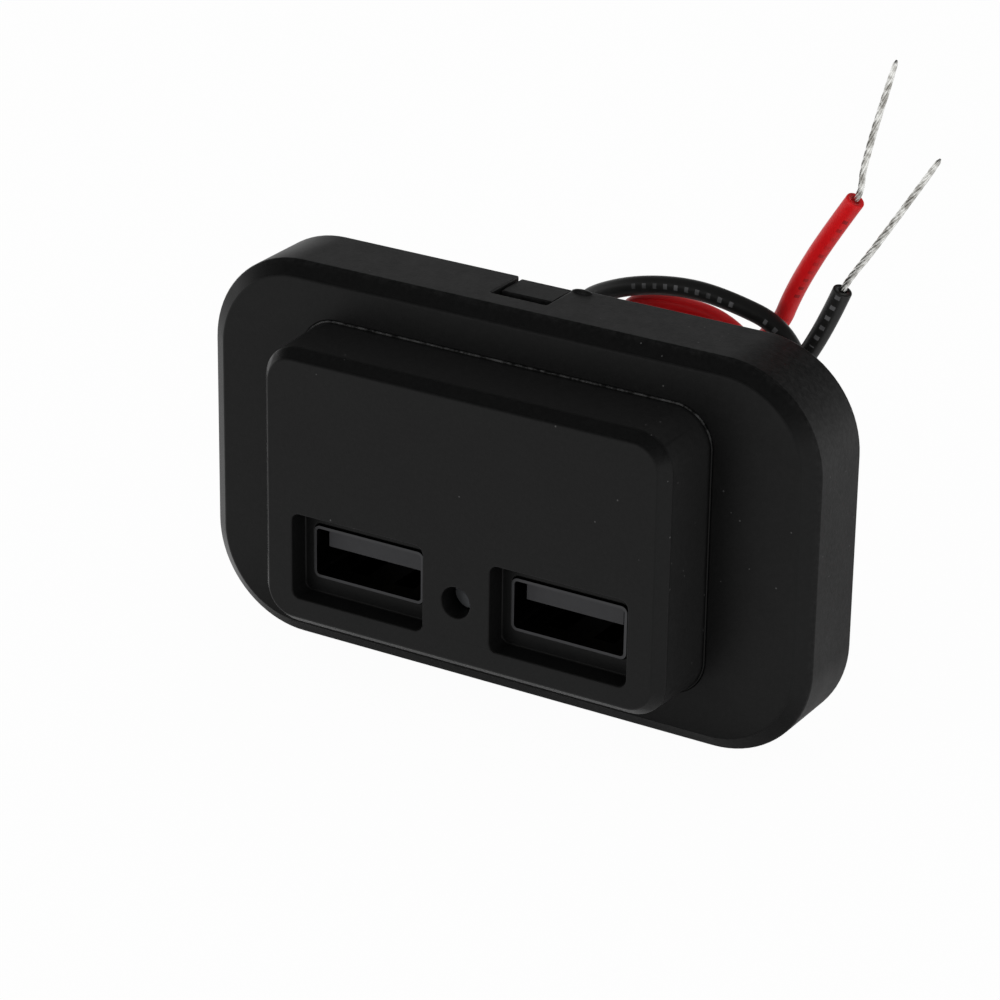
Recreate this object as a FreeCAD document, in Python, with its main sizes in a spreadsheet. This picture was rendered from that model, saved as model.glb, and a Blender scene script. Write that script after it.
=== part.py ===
import FreeCAD, Part
import math
import os
import Sketcher

# Surface-mounted dual USB socket for a vehicle, in millimetres.
# +X runs along the face, +Z up, and the face looks along -Y.
# The origin is the middle of the two fixing holes, on the plane of the panel behind.

doc = FreeCAD.newDocument("dual_usb_socket")
sheet = doc.addObject("Spreadsheet::Sheet", "Sizes")

driving = {
    # clip-on surround
    "face_width": 70.0,
    "face_height": 41.5,
    "face_corner": 10.6,
    "face_depth": 9.3,
    "edge_inset": 1.6,
    "edge_drop": 1.2,
    "skirt_wall": 1.6,
    "face_wall": 1.8,
    "rim_wall": 1.2,
    "window_gap": 0.15,
    "notch_width": 6.5,
    "notch_length": 5.6,
    "notch_offset": -0.4,
    "clip_spacing": 40.0,
    "clip_width": 6.0,
    "clip_reach": 0.45,
    "clip_start": 1.1,
    "clip_thick": 1.0,
    # base plate and boss
    "plate_thick": 3.0,
    "fit_gap": 0.15,
    "tab_gap": 0.3,
    "tab_length": 4.0,
    "tab_sunk": 0.25,
    "boss_width": 47.2,
    "boss_height": 30.6,
    "boss_corner": 4.1,
    "boss_rise": 8.25,
    "boss_draft": 2.4,
    "boss_inset": 0.92,
    "boss_drop": 1.2,
    "boss_wall": 1.6,
    "front_wall": 1.8,
    "fixing_inset": 6.5,
    "fixing_radius": 1.9,
    "fixing_head_radius": 3.6,
    "fixing_head_depth": 1.3,
    # port recesses and the light hole between them
    "port_spacing": 23.4,
    "port_below": 7.2,
    "port_width": 15.6,
    "port_height": 9.3,
    "port_corner": 0.9,
    "port_depth": 2.5,
    "port_floor": 1.5,
    "port_surround": 1.4,
    "mouth_gap": 0.1,
    "light_below": 7.6,
    "light_radius": 1.65,
    "light_depth": 2.6,
    "light_sleeve": 1.15,
    "light_sleeve_length": 2.2,
    "guide_gap": 0.1,
    "guide_lip": 0.7,
    "guide_lip_thick": 0.8,
    "lamp_radius": 1.5,
    "lamp_length": 4.4,
    "lamp_rim": 0.25,
    "lamp_rim_thick": 0.9,
    "lamp_leg": 0.5,
    "lamp_leg_spacing": 1.27,
    "lamp_leg_back": 1.0,
    # rear cover, its posts and screws
    "cover_thick": 1.4,
    "cover_lap": 1.5,
    "cover_corner": 3.0,
    "cover_gap": 0.1,
    "post_radius": 2.0,
    "post_inset": 1.9,
    "screw_radius": 0.9,
    "screw_length": 7.0,
    "screw_gap": 0.05,
    "screw_head_radius": 1.8,
    "screw_head_height": 0.7,
    "screw_slot_depth": 0.35,
    "screw_slot_width": 0.5,
    # circuit board and the rails that hold it
    "board_thick": 1.6,
    "board_gap": 0.2,
    "board_rear": 2.5,
    "rail_reach": 2.0,
    "rail_thick": 1.0,
    "rail_gap": 0.05,
    "hole_gap": 0.15,
    # steel shells of the two sockets
    "shell_width": 13.1,
    "shell_height": 5.7,
    "shell_wall": 0.3,
    "shell_corner": 0.7,
    "shell_length": 11.4,
    "shell_proud": 0.25,
    "spring_width": 2.4,
    "spring_length": 5.0,
    "spring_start": 2.2,
    "spring_spacing": 5.6,
    "leg_length": 1.2,
    "leg_setback": 3.4,
    "leg_beyond": 0.5,
    # moulded tongues and their contacts
    "tongue_side": 0.75,
    "tongue_thick": 1.84,
    "tongue_above": 0.25,
    "tongue_recess": 1.2,
    "block_length": 3.6,
    "block_gap": 0.05,
    "contact_inner": 1.0,
    "contact_outer": 3.5,
    "blade_width": 1.0,
    "blade_thick": 0.4,
    "blade_proud": 0.15,
    "blade_gap": 0.03,
    "blade_setback": 0.4,
    "tail_width": 0.5,
    "tail_back": 0.36,
    # converter parts on the board
    "inductor_width": 6.8,
    "inductor_height": 5.0,
    "inductor_corner": 1.6,
    "inductor_cap_radius": 2.7,
    "inductor_cap_sunk": 0.4,
    "inductor_x": -8.0,
    "input_can_radius": 3.15,
    "input_can_height": 11.0,
    "input_can_x": 15.8,
    "output_can_radius": 3.15,
    "output_can_height": 9.0,
    "output_can_x": -16.5,
    "can_base_height": 1.0,
    "can_neck_height": 0.6,
    "can_neck_sunk": 0.35,
    "can_edge": 0.5,
    "parts_row": 7.4,
    "regulator_length": 4.9,
    "regulator_width": 3.9,
    "regulator_height": 1.5,
    "regulator_x": 4.4,
    "regulator_row": 7.9,
    "pin_pitch": 1.27,
    "pin_width": 0.42,
    "pin_reach": 1.0,
    "pin_thick": 0.25,
    "controller_width": 3.0,
    "controller_height": 0.9,
    "controller_row": 4.6,
    "diode_length": 4.5,
    "diode_width": 2.6,
    "diode_height": 2.2,
    "diode_row": 9.5,
    "fuse_length": 4.5,
    "fuse_width": 3.2,
    "fuse_height": 1.2,
    "fuse_row": 5.6,
    "input_parts_x": 10.0,
    "ceramic_length": 2.0,
    "ceramic_width": 1.25,
    "ceramic_height": 1.0,
    "ceramic_pitch": 2.6,
    "ceramic_x": 7.0,
    "ceramic_row": 12.3,
    "resistor_length": 1.6,
    "resistor_width": 0.8,
    "resistor_height": 0.45,
    "resistor_pitch": 1.75,
    "resistor_x": 2.6,
    "resistor_row": 3.3,
    # the two leads, their bush and joints
    "lead_radius": 1.0,
    "lead_spacing": 2.4,
    "lead_x": -1.5,
    "lead_over_board": 0.35,
    "lead_inside": 7.0,
    "solder_radius": 1.3,
    "solder_top_radius": 0.5,
    "solder_height": 1.7,
    "strand_radius": 0.42,
    "strand_start": 1.2,
    "bush_radius": 2.9,
    "bush_lip": 0.6,
    "bush_lip_thick": 0.8,
    "bush_out": 2.2,
    "bush_taper": 0.35,
}

for row, (alias, number) in enumerate(driving.items(), start=1):
    sheet.set(f"A{row}", alias)
    sheet.set(f"B{row}", str(number))
    sheet.setAlias(f"B{row}", alias)
doc.recompute()

# Places that several pieces share, as expressions on the sheet.
totalDepth = "(Sizes.face_depth + Sizes.boss_rise)"
cavityWidth = "(Sizes.boss_width - 2 * Sizes.boss_wall)"
cavityHeight = "(Sizes.boss_height - 2 * Sizes.boss_wall)"
cavityCorner = "(Sizes.boss_corner - Sizes.boss_wall)"
cavityDepth = f"({totalDepth} - Sizes.front_wall)"
floorDepth = f"({totalDepth} - Sizes.port_depth)"
blockDepth = f"({floorDepth} - Sizes.port_floor)"
shellFront = f"({floorDepth} + Sizes.shell_proud)"
shellRear = f"({shellFront} - Sizes.shell_length)"
fixingSide = "(Sizes.face_width / 2 - Sizes.fixing_inset)"
portSide = "(Sizes.port_spacing / 2)"
boardBottom = "(Sizes.shell_height / 2 - Sizes.port_below)"
boardTop = f"({boardBottom} + Sizes.board_thick)"
boardFront = f"({blockDepth} - Sizes.board_gap)"
tongueBottom = "(Sizes.tongue_above - Sizes.port_below)"
tongueTop = f"({tongueBottom} + Sizes.tongue_thick)"
bladeBottom = f"({tongueBottom} - Sizes.blade_proud)"
bladeTop = f"({bladeBottom} + Sizes.blade_thick)"
tailMiddle = f"({shellRear} - Sizes.tail_back)"
legMiddle = f"({shellFront} - Sizes.leg_setback)"
postX = f"({cavityWidth} / 2 - Sizes.post_inset)"
postZ = f"({cavityHeight} / 2 - Sizes.post_inset)"
coverWidth = f"({cavityWidth} + 2 * Sizes.cover_lap)"
coverHeight = f"({cavityHeight} + 2 * Sizes.cover_lap)"
guideFront = f"({totalDepth} - Sizes.light_depth)"
sleeveRear = f"({cavityDepth} - Sizes.light_sleeve_length)"
guideRear = f"({sleeveRear} - Sizes.guide_lip_thick)"
lampFront = f"({guideRear} - Sizes.guide_gap)"
lampRear = f"({lampFront} - Sizes.lamp_length)"
leadHeight = f"({boardTop} + Sizes.lead_over_board + Sizes.lead_radius)"
contactSteps = [f"{sign} * Sizes.contact_{word}" for sign, word in (("-1", "outer"), ("-1", "inner"), ("1", "inner"), ("1", "outer"))]
sides = {"left": "-1", "right": "1"}

pieces = []


def value(expression):
    """Number that an expression on the sheet gives."""
    return float(sheet.evalExpression(str(expression)))


def bind(item, **expressions):
    """Tie properties to expressions; a double underscore in a name stands for a dot."""
    for name, expression in expressions.items():
        item.setExpression(name.replace("__", "."), str(expression))


def newBody(label):
    body = doc.addObject("PartDesign::Body", label)
    body.Label = label
    pieces.append(body)
    return body


def sketchOn(body, role, offset="0"):
    """Sketch on one of the body's own origin planes, moved along the plane's normal."""
    sketch = body.newObject("Sketcher::SketchObject", "Sketch")
    plane = next(item for item in body.Origin.OriginFeatures if item.Role == role)
    sketch.AttachmentSupport = (plane, [""])
    sketch.MapMode = "FlatFace"
    sketch.setExpression("AttachmentOffset.Base.z", str(offset))
    return sketch


def facing(body, depth="0"):
    """Sketch seen from the front, at a depth counted from the panel towards the viewer."""
    return sketchOn(body, "XZ_Plane", depth)


def dimension(sketch, kind, expression, *places):
    index = sketch.addConstraint(Sketcher.Constraint(kind, *places, value(expression)))
    sketch.setExpression(f"Constraints[{index}]", str(expression))


def roundedRectangle(sketch, width, height, radius, midX="0", midY="0"):
    """Four lines and four tangent arcs, with width, height, radius and middle bound."""
    wide, high, bend = value(width), value(height), value(radius)
    x0, y0 = value(midX) - wide / 2, value(midY) - high / 2
    x1, y1 = x0 + wide, y0 + high
    lines = [
        ((x0 + bend, y0), (x1 - bend, y0)),
        ((x1, y0 + bend), (x1, y1 - bend)),
        ((x1 - bend, y1), (x0 + bend, y1)),
        ((x0, y1 - bend), (x0, y0 + bend)),
    ]
    centres = [(x1 - bend, y0 + bend), (x1 - bend, y1 - bend), (x0 + bend, y1 - bend), (x0 + bend, y0 + bend)]
    first = sketch.GeometryCount
    for turn, (ends, centre) in enumerate(zip(lines, centres)):
        start, end = [FreeCAD.Vector(*point, 0) for point in ends]
        sketch.addGeometry(Part.LineSegment(start, end), False)
        circle = Part.Circle(FreeCAD.Vector(*centre, 0), FreeCAD.Vector(0, 0, 1), bend)
        quarter = math.pi / 2
        sketch.addGeometry(Part.ArcOfCircle(circle, (turn - 1) * quarter, turn * quarter), False)
    for turn in range(4):
        line, arc, following = first + 2 * turn, first + 2 * turn + 1, first + (2 * turn + 2) % 8
        sketch.addConstraint(Sketcher.Constraint("Tangent", line, 2, arc, 1))
        sketch.addConstraint(Sketcher.Constraint("Tangent", arc, 2, following, 1))
        sketch.addConstraint(Sketcher.Constraint("Vertical" if turn % 2 else "Horizontal", line))
        if turn:
            sketch.addConstraint(Sketcher.Constraint("Equal", first + 1, arc))
    dimension(sketch, "Radius", radius, first + 1)
    dimension(sketch, "DistanceX", width, first + 6, 1, first + 2, 1)
    dimension(sketch, "DistanceY", height, first, 1, first + 4, 1)
    dimension(sketch, "DistanceX", f"{midX} - {width} / 2", -1, 1, first + 6, 1)
    dimension(sketch, "DistanceY", f"{midY} - {height} / 2", -1, 1, first, 1)


def outline(sketch, corners):
    """Closed run of straight lines whose corners are bound to pairs of expressions."""
    first = sketch.GeometryCount
    places = [FreeCAD.Vector(value(x), value(y), 0) for x, y in corners]
    for here, there in zip(places, places[1:] + places[:1]):
        sketch.addGeometry(Part.LineSegment(here, there), False)
    for step, (x, y) in enumerate(corners):
        following = first + (step + 1) % len(corners)
        sketch.addConstraint(Sketcher.Constraint("Coincident", first + step, 2, following, 1))
        dimension(sketch, "DistanceX", x, -1, 1, first + step, 1)
        dimension(sketch, "DistanceY", y, -1, 1, first + step, 1)


def rectangle(sketch, x0, x1, y0, y1):
    outline(sketch, [(x0, y0), (x1, y0), (x1, y1), (x0, y1)])


def circle(sketch, radius, x="0", y="0"):
    centre = FreeCAD.Vector(value(x), value(y), 0)
    index = sketch.addGeometry(Part.Circle(centre, FreeCAD.Vector(0, 0, 1), value(radius)), False)
    dimension(sketch, "Radius", radius, index)
    dimension(sketch, "DistanceX", x, -1, 1, index, 3)
    dimension(sketch, "DistanceY", y, -1, 1, index, 3)


def pad(body, sketch, length, towardsPanel=False, draft=None):
    feature = body.newObject("PartDesign::Pad", "Pad")
    feature.Profile = sketch
    feature.Reversed = towardsPanel
    bind(feature, Length=length)
    if draft:
        bind(feature, TaperAngle=draft)
    doc.recompute()
    return feature


def pocket(body, sketch, length, towardsFace=False):
    """Cut from the sketch back towards the panel, or the other way towards the face."""
    before = body.Shape.Volume
    feature = body.newObject("PartDesign::Pocket", "Pocket")
    feature.Profile = sketch
    feature.Reversed = towardsFace
    bind(feature, Length=length)
    doc.recompute()
    if body.Shape.Volume > before - 1e-6:
        raise ValueError(f"a pocket of {body.Label} cuts nothing")
    return feature


def mirror(body, features, role):
    """Repeat features on the other side of one of the body's origin planes."""
    copy = body.newObject("PartDesign::Mirrored", "Mirrored")
    copy.Originals = features
    plane = next(item for item in body.Origin.OriginFeatures if item.Role == role)
    copy.MirrorPlane = (plane, [""])
    body.Tip = copy
    doc.recompute()
    return copy


def chamferFront(body, depth, inset, drop):
    """Two-distance chamfer round the outline of the face that lies at a depth."""
    base = body.Tip
    level = -value(depth)
    names = []
    for number, edge in enumerate(base.Shape.Edges, start=1):
        box = edge.BoundBox
        if abs(box.YMin - level) < 1e-4 and abs(box.YMax - level) < 1e-4:
            names.append(f"Edge{number}")
    chamfer = body.newObject("PartDesign::Chamfer", "Chamfer")
    chamfer.Base = (base, names)
    chamfer.ChamferType = "Two distances"
    bind(chamfer, Size=drop, Size2=inset)
    doc.recompute()
    return chamfer


def revolve(body, sketch, axis):
    feature = body.newObject("PartDesign::Revolution", "Revolution")
    feature.Profile = sketch
    feature.ReferenceAxis = (sketch, [axis])
    feature.Angle = 360
    doc.recompute()
    return feature


def box(label, x, y, z, length, width, height):
    """Part::Box from its low corner."""
    item = doc.addObject("Part::Box", label)
    bind(item, Length=length, Width=width, Height=height)
    bind(item, Placement__Base__x=x, Placement__Base__y=y, Placement__Base__z=z)
    return item


def boardBox(label, x, row, length, width, height, base=boardTop):
    """Box that stands on the board, given by its middle."""
    return box(label, f"{x} - {length} / 2", f"-{row} - {width} / 2", base, length, width, height)


def joined(kind, label, items):
    """Fusion or compound of several objects, kept as one sub-part."""
    whole = doc.addObject(kind, label)
    if kind == "Part::Compound":
        whole.Links = items
    else:
        whole.Shapes = items
    whole.Label = label
    return whole


def keep(item, label):
    item.Label = label
    pieces.append(item)
    return item


def makeBezel():
    """Clip-on surround: chamfered edge, hollow behind, a rim round the window and a pry notch."""
    body = newBody("bezel_frame")
    rim = facing(body)
    roundedRectangle(rim, "Sizes.face_width", "Sizes.face_height", "Sizes.face_corner")
    pad(body, rim, "Sizes.face_depth")
    chamferFront(body, "Sizes.face_depth", "Sizes.edge_inset", "Sizes.edge_drop")
    hollow = facing(body)
    inside = "(Sizes.face_{0} - 2 * Sizes.skirt_wall)"
    innerCorner = "Sizes.face_corner - Sizes.skirt_wall"
    roundedRectangle(hollow, inside.format("width"), inside.format("height"), innerCorner)
    pocket(body, hollow, "Sizes.face_depth - Sizes.face_wall", towardsFace=True)

    locating = facing(body, "Sizes.plate_thick")
    grown = "(Sizes.boss_{0} + 2 * Sizes.window_gap + 2 * Sizes.rim_wall)"
    rimCorner = "Sizes.boss_corner + Sizes.window_gap + Sizes.rim_wall"
    roundedRectangle(locating, grown.format("width"), grown.format("height"), rimCorner)
    pad(body, locating, "Sizes.face_depth - Sizes.face_wall / 2 - Sizes.plate_thick")
    window = facing(body)
    opening = "(Sizes.boss_{0} + 2 * Sizes.window_gap)"
    windowCorner = "Sizes.boss_corner + Sizes.window_gap"
    roundedRectangle(window, opening.format("width"), opening.format("height"), windowCorner)
    pocket(body, window, "Sizes.face_depth + 1", towardsFace=True)

    clips = facing(body, "Sizes.clip_start")
    innerTop = "(Sizes.face_height / 2 - Sizes.skirt_wall)"
    for side in sides.values():
        middle = f"{side} * Sizes.clip_spacing / 2"
        left, right = f"{middle} - Sizes.clip_width / 2", f"{middle} + Sizes.clip_width / 2"
        rectangle(clips, left, right, f"{innerTop} - Sizes.clip_reach", f"{innerTop} + Sizes.skirt_wall / 2")
    clipPad = pad(body, clips, "Sizes.clip_thick")
    mirror(body, [clipPad], "XY_Plane")

    notch = facing(body, "-1")
    left = "Sizes.notch_offset - Sizes.notch_width / 2"
    right = "Sizes.notch_offset + Sizes.notch_width / 2"
    rectangle(notch, left, right, f"{innerTop} - Sizes.fit_gap", "Sizes.face_height / 2 + 1")
    notchCut = pocket(body, notch, "Sizes.notch_length + 1", towardsFace=True)
    mirror(body, [notchCut], "XY_Plane")


def makeHousing():
    """Base plate and boss in one moulding, with its port recesses, light sleeve, rails and posts."""
    body = newBody("socket_housing")
    plate = facing(body)
    flange = "(Sizes.face_{0} - 2 * Sizes.skirt_wall - 2 * Sizes.fit_gap)"
    plateCorner = "Sizes.face_corner - Sizes.skirt_wall - Sizes.fit_gap"
    roundedRectangle(plate, flange.format("width"), flange.format("height"), plateCorner)
    pad(body, plate, "Sizes.plate_thick")
    root = facing(body)
    roundedRectangle(root, "Sizes.boss_width", "Sizes.boss_height", "Sizes.boss_corner")
    pad(body, root, "Sizes.face_depth")
    raised = facing(body, "Sizes.face_depth")
    roundedRectangle(raised, "Sizes.boss_width", "Sizes.boss_height", "Sizes.boss_corner")
    pad(body, raised, "Sizes.boss_rise", draft="-Sizes.boss_draft * 1 deg")
    chamferFront(body, totalDepth, "Sizes.boss_inset", "Sizes.boss_drop")

    cavity = facing(body)
    roundedRectangle(cavity, cavityWidth, cavityHeight, cavityCorner)
    pocket(body, cavity, cavityDepth, towardsFace=True)
    rebate = facing(body)
    roundedRectangle(rebate, coverWidth, coverHeight, "Sizes.cover_corner")
    pocket(body, rebate, "Sizes.cover_thick", towardsFace=True)

    posts = facing(body, "Sizes.cover_thick")
    for across in ("-1", "1"):
        for up in ("-1", "1"):
            circle(posts, "Sizes.post_radius", f"{across} * {postX}", f"{up} * {postZ}")
    pad(body, posts, f"{cavityDepth} + Sizes.front_wall / 2 - Sizes.cover_thick")
    pilots = facing(body, "Sizes.cover_thick")
    for across in ("-1", "1"):
        for up in ("-1", "1"):
            circle(pilots, "Sizes.screw_radius + Sizes.screw_gap", f"{across} * {postX}", f"{up} * {postZ}")
    pocket(body, pilots, "Sizes.screw_length", towardsFace=True)

    surround = facing(body, blockDepth)
    for side in sides.values():
        wide = "(Sizes.port_width + 2 * Sizes.port_surround)"
        high = "(Sizes.port_height + 2 * Sizes.port_surround)"
        bend = "Sizes.port_corner + Sizes.port_surround"
        roundedRectangle(surround, wide, high, bend, f"{side} * {portSide}", "-Sizes.port_below")
    pad(body, surround, f"{cavityDepth} + Sizes.front_wall / 2 - {blockDepth}")
    recess = facing(body, totalDepth)
    for side in sides.values():
        place = (f"{side} * {portSide}", "-Sizes.port_below")
        roundedRectangle(recess, "Sizes.port_width", "Sizes.port_height", "Sizes.port_corner", *place)
    pocket(body, recess, "Sizes.port_depth")
    mouth = facing(body, totalDepth)
    for side in sides.values():
        wide = "(Sizes.shell_width + 2 * Sizes.mouth_gap)"
        high = "(Sizes.shell_height + 2 * Sizes.mouth_gap)"
        bend = "Sizes.shell_corner + Sizes.mouth_gap"
        roundedRectangle(mouth, wide, high, bend, f"{side} * {portSide}", "-Sizes.port_below")
    pocket(body, mouth, f"{totalDepth} - {blockDepth} + 1")

    sleeve = facing(body, sleeveRear)
    circle(sleeve, "Sizes.light_radius + Sizes.light_sleeve", "0", "-Sizes.light_below")
    pad(body, sleeve, "Sizes.light_sleeve_length + Sizes.front_wall / 2")
    lightHole = facing(body, totalDepth)
    circle(lightHole, "Sizes.light_radius", "0", "-Sizes.light_below")
    pocket(body, lightHole, f"{totalDepth} - {sleeveRear} + 0.5")

    rails = facing(body, "Sizes.board_rear")
    wall = f"({cavityWidth} / 2 + Sizes.boss_wall / 2)"
    reach = f"({cavityWidth} / 2 - Sizes.rail_reach)"
    low = f"{boardBottom} - Sizes.rail_gap"
    high = f"{boardTop} + Sizes.rail_gap"
    for side in sides.values():
        ends = (f"{side} * {reach}", f"{side} * {wall}")
        rectangle(rails, *ends, f"{low} - Sizes.rail_thick", low)
        rectangle(rails, *ends, high, f"{high} + Sizes.rail_thick")
    pad(body, rails, f"{cavityDepth} + Sizes.front_wall / 2 - Sizes.board_rear")

    tab = facing(body)
    left = "Sizes.notch_offset - Sizes.notch_width / 2 + Sizes.tab_gap"
    right = "Sizes.notch_offset + Sizes.notch_width / 2 - Sizes.tab_gap"
    edge = "(Sizes.face_height / 2 - Sizes.skirt_wall - Sizes.fit_gap)"
    rectangle(tab, left, right, f"{edge} - 2", "Sizes.face_height / 2 - Sizes.tab_sunk")
    tabPad = pad(body, tab, "Sizes.tab_length")
    mirror(body, [tabPad], "XY_Plane")

    grooves = facing(body, "Sizes.clip_start - Sizes.fit_gap")
    for side in sides.values():
        middle = f"{side} * Sizes.clip_spacing / 2"
        half = "(Sizes.clip_width / 2 + Sizes.fit_gap)"
        bottom = "(Sizes.face_height / 2 - Sizes.skirt_wall - Sizes.clip_reach - Sizes.fit_gap)"
        rectangle(grooves, f"{middle} - {half}", f"{middle} + {half}", bottom, f"{edge} + 1")
    grooveCut = pocket(body, grooves, "Sizes.clip_thick + 2 * Sizes.fit_gap", towardsFace=True)
    mirror(body, [grooveCut], "XY_Plane")

    fixings = facing(body)
    heads = facing(body, "Sizes.plate_thick")
    for side in sides.values():
        circle(fixings, "Sizes.fixing_radius", f"{side} * {fixingSide}")
        circle(heads, "Sizes.fixing_head_radius", f"{side} * {fixingSide}")
    pocket(body, fixings, "Sizes.plate_thick + 1", towardsFace=True)
    pocket(body, heads, "Sizes.fixing_head_depth")


def makeCover():
    """Flat rear cover with sunk screw holes, the bush hole and two ribs that stop the board."""
    body = newBody("rear_cover")
    plate = facing(body)
    wide, high = f"({coverWidth} - 2 * Sizes.cover_gap)", f"({coverHeight} - 2 * Sizes.cover_gap)"
    roundedRectangle(plate, wide, high, "Sizes.cover_corner - Sizes.cover_gap")
    pad(body, plate, "Sizes.cover_thick")
    ribs = facing(body, "Sizes.cover_thick")
    for side in sides.values():
        inner = f"{side} * ({cavityWidth} / 2 - Sizes.rail_reach)"
        outer = f"{side} * ({cavityWidth} / 2 - Sizes.board_gap)"
        rectangle(ribs, inner, outer, boardBottom, boardTop)
    pad(body, ribs, "Sizes.board_rear - Sizes.cover_thick - Sizes.rail_gap")
    shanks, heads = facing(body), facing(body)
    for across in ("-1", "1"):
        for up in ("-1", "1"):
            place = (f"{across} * {postX}", f"{up} * {postZ}")
            circle(shanks, "Sizes.screw_radius + 2 * Sizes.screw_gap", *place)
            circle(heads, "Sizes.screw_head_radius + 2 * Sizes.screw_gap", *place)
    pocket(body, shanks, "Sizes.cover_thick + 1", towardsFace=True)
    pocket(body, heads, "Sizes.screw_head_height", towardsFace=True)
    exitHole = facing(body)
    circle(exitHole, "Sizes.bush_radius", "Sizes.lead_x", leadHeight)
    pocket(body, exitHole, "Sizes.cover_thick + 1", towardsFace=True)


def makeCoverScrews():
    """Four self-tapping screws: a flat slotted head, a round shank and a short point."""
    radius, length = value("Sizes.screw_radius"), value("Sizes.screw_length")
    headRadius, headHeight = value("Sizes.screw_head_radius"), value("Sizes.screw_head_height")
    slotWidth, slotDepth = value("Sizes.screw_slot_width"), value("Sizes.screw_slot_depth")
    reach = value("Sizes.cover_thick") + length - value("Sizes.screw_radius")
    forward = FreeCAD.Vector(0, -1, 0)
    screws = []
    for across in (-1, 1):
        for up in (-1, 1):
            base = FreeCAD.Vector(across * value(postX), 0, up * value(postZ))
            head = Part.makeCylinder(headRadius, headHeight, base, forward)
            tip = base + forward * (reach - radius)
            shank = Part.makeCylinder(radius, reach - radius, base, forward)
            point = Part.makeCone(radius, radius / 4, radius, tip, forward)
            slotCorner = base + FreeCAD.Vector(-headRadius, -slotDepth, -slotWidth / 2)
            slot = Part.makeBox(2 * headRadius, slotDepth, slotWidth, slotCorner)
            screws.append(head.fuse([shank, point]).cut(slot).removeSplitter())
    group = doc.addObject("Part::Feature", "cover_screws")
    group.Shape = Part.makeCompound(screws)
    keep(group, "cover_screws")


def makeBoard():
    """Board with holes for the shell legs, the contact tails and the lamp legs."""
    body = newBody("circuit_board")
    face = sketchOn(body, "XY_Plane", boardBottom)
    half = f"({cavityWidth} / 2 - Sizes.board_gap)"
    rectangle(face, f"-{half}", half, f"-{boardFront}", "-Sizes.board_rear")
    pad(body, face, "Sizes.board_thick")
    holes = sketchOn(body, "XY_Plane", boardTop)
    for side in sides.values():
        for step in contactSteps:
            wide = "(Sizes.tail_width / 2 + Sizes.hole_gap)"
            circle(holes, wide, f"{side} * {portSide} + {step}", f"-{tailMiddle}")
        for edge in ("-1", "1"):
            middle = f"{side} * {portSide} + {edge} * (Sizes.shell_width - Sizes.shell_wall) / 2"
            halfWall = "(Sizes.shell_wall / 2 + Sizes.hole_gap)"
            halfLeg = "(Sizes.leg_length / 2 + Sizes.hole_gap)"
            across = (f"{middle} - {halfWall}", f"{middle} + {halfWall}")
            rectangle(holes, *across, f"-{legMiddle} - {halfLeg}", f"-{legMiddle} + {halfLeg}")
    pocket(body, holes, "Sizes.board_thick + 1")


def makeShell(name, side):
    """Folded steel shell: square tube with spring windows and two legs into the board."""
    body = newBody(f"usb_shell_{name}")
    middle = f"{side} * {portSide}"
    place = (middle, "-Sizes.port_below")
    outer = facing(body, shellRear)
    roundedRectangle(outer, "Sizes.shell_width", "Sizes.shell_height", "Sizes.shell_corner", *place)
    pad(body, outer, "Sizes.shell_length")
    inner = facing(body, shellRear)
    wide, high = "(Sizes.shell_width - 2 * Sizes.shell_wall)", "(Sizes.shell_height - 2 * Sizes.shell_wall)"
    roundedRectangle(inner, wide, high, "Sizes.shell_corner - Sizes.shell_wall", *place)
    pocket(body, inner, "Sizes.shell_length + 1", towardsFace=True)

    windows = sketchOn(body, "XY_Plane", "Sizes.shell_height / 2 - Sizes.port_below + 1")
    front = f"(Sizes.spring_start - {shellFront})"
    for edge in ("-1", "1"):
        centre = f"({middle} + {edge} * Sizes.spring_spacing / 2)"
        across = (f"{centre} - Sizes.spring_width / 2", f"{centre} + Sizes.spring_width / 2")
        rectangle(windows, *across, front, f"{front} + Sizes.spring_length")
    pocket(body, windows, "Sizes.shell_height + 2")

    legs = sketchOn(body, "XY_Plane", "-Sizes.port_below")
    for edge in ("-1", "1"):
        outside = f"{middle} + {edge} * Sizes.shell_width / 2"
        inside = f"{middle} + {edge} * (Sizes.shell_width / 2 - Sizes.shell_wall)"
        rectangle(legs, inside, outside, f"-{legMiddle} - Sizes.leg_length / 2", f"-{legMiddle} + Sizes.leg_length / 2")
    pad(body, legs, "Sizes.shell_height / 2 + Sizes.board_thick + Sizes.leg_beyond")


def makeTongue(name, side):
    """Moulded insulator: rear block with a tongue, grooved for the four contact blades."""
    body = newBody(f"usb_tongue_{name}")
    middle = f"{side} * {portSide}"
    block = facing(body, shellRear)
    wide = "(Sizes.shell_width - 2 * Sizes.shell_wall - 2 * Sizes.block_gap)"
    high = "(Sizes.shell_height - 2 * Sizes.shell_wall - 2 * Sizes.block_gap)"
    bend = "Sizes.shell_corner - Sizes.shell_wall"
    roundedRectangle(block, wide, high, bend, middle, "-Sizes.port_below")
    pad(body, block, "Sizes.block_length")
    tongue = facing(body, shellRear)
    half = "(Sizes.shell_width / 2 - Sizes.shell_wall - Sizes.tongue_side)"
    rectangle(tongue, f"{middle} - {half}", f"{middle} + {half}", tongueBottom, tongueTop)
    pad(body, tongue, "Sizes.shell_length - Sizes.tongue_recess")
    grooves = facing(body, shellRear)
    for step in contactSteps:
        halfGroove = "(Sizes.blade_width / 2 + Sizes.blade_gap)"
        across = (f"{middle} + {step} - {halfGroove}", f"{middle} + {step} + {halfGroove}")
        rectangle(grooves, *across, f"{bladeBottom} - Sizes.blade_gap", f"{bladeTop} + Sizes.blade_gap")
    reach = "(Sizes.shell_length - Sizes.tongue_recess - Sizes.blade_setback + Sizes.blade_gap)"
    pocket(body, grooves, reach, towardsFace=True)


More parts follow.
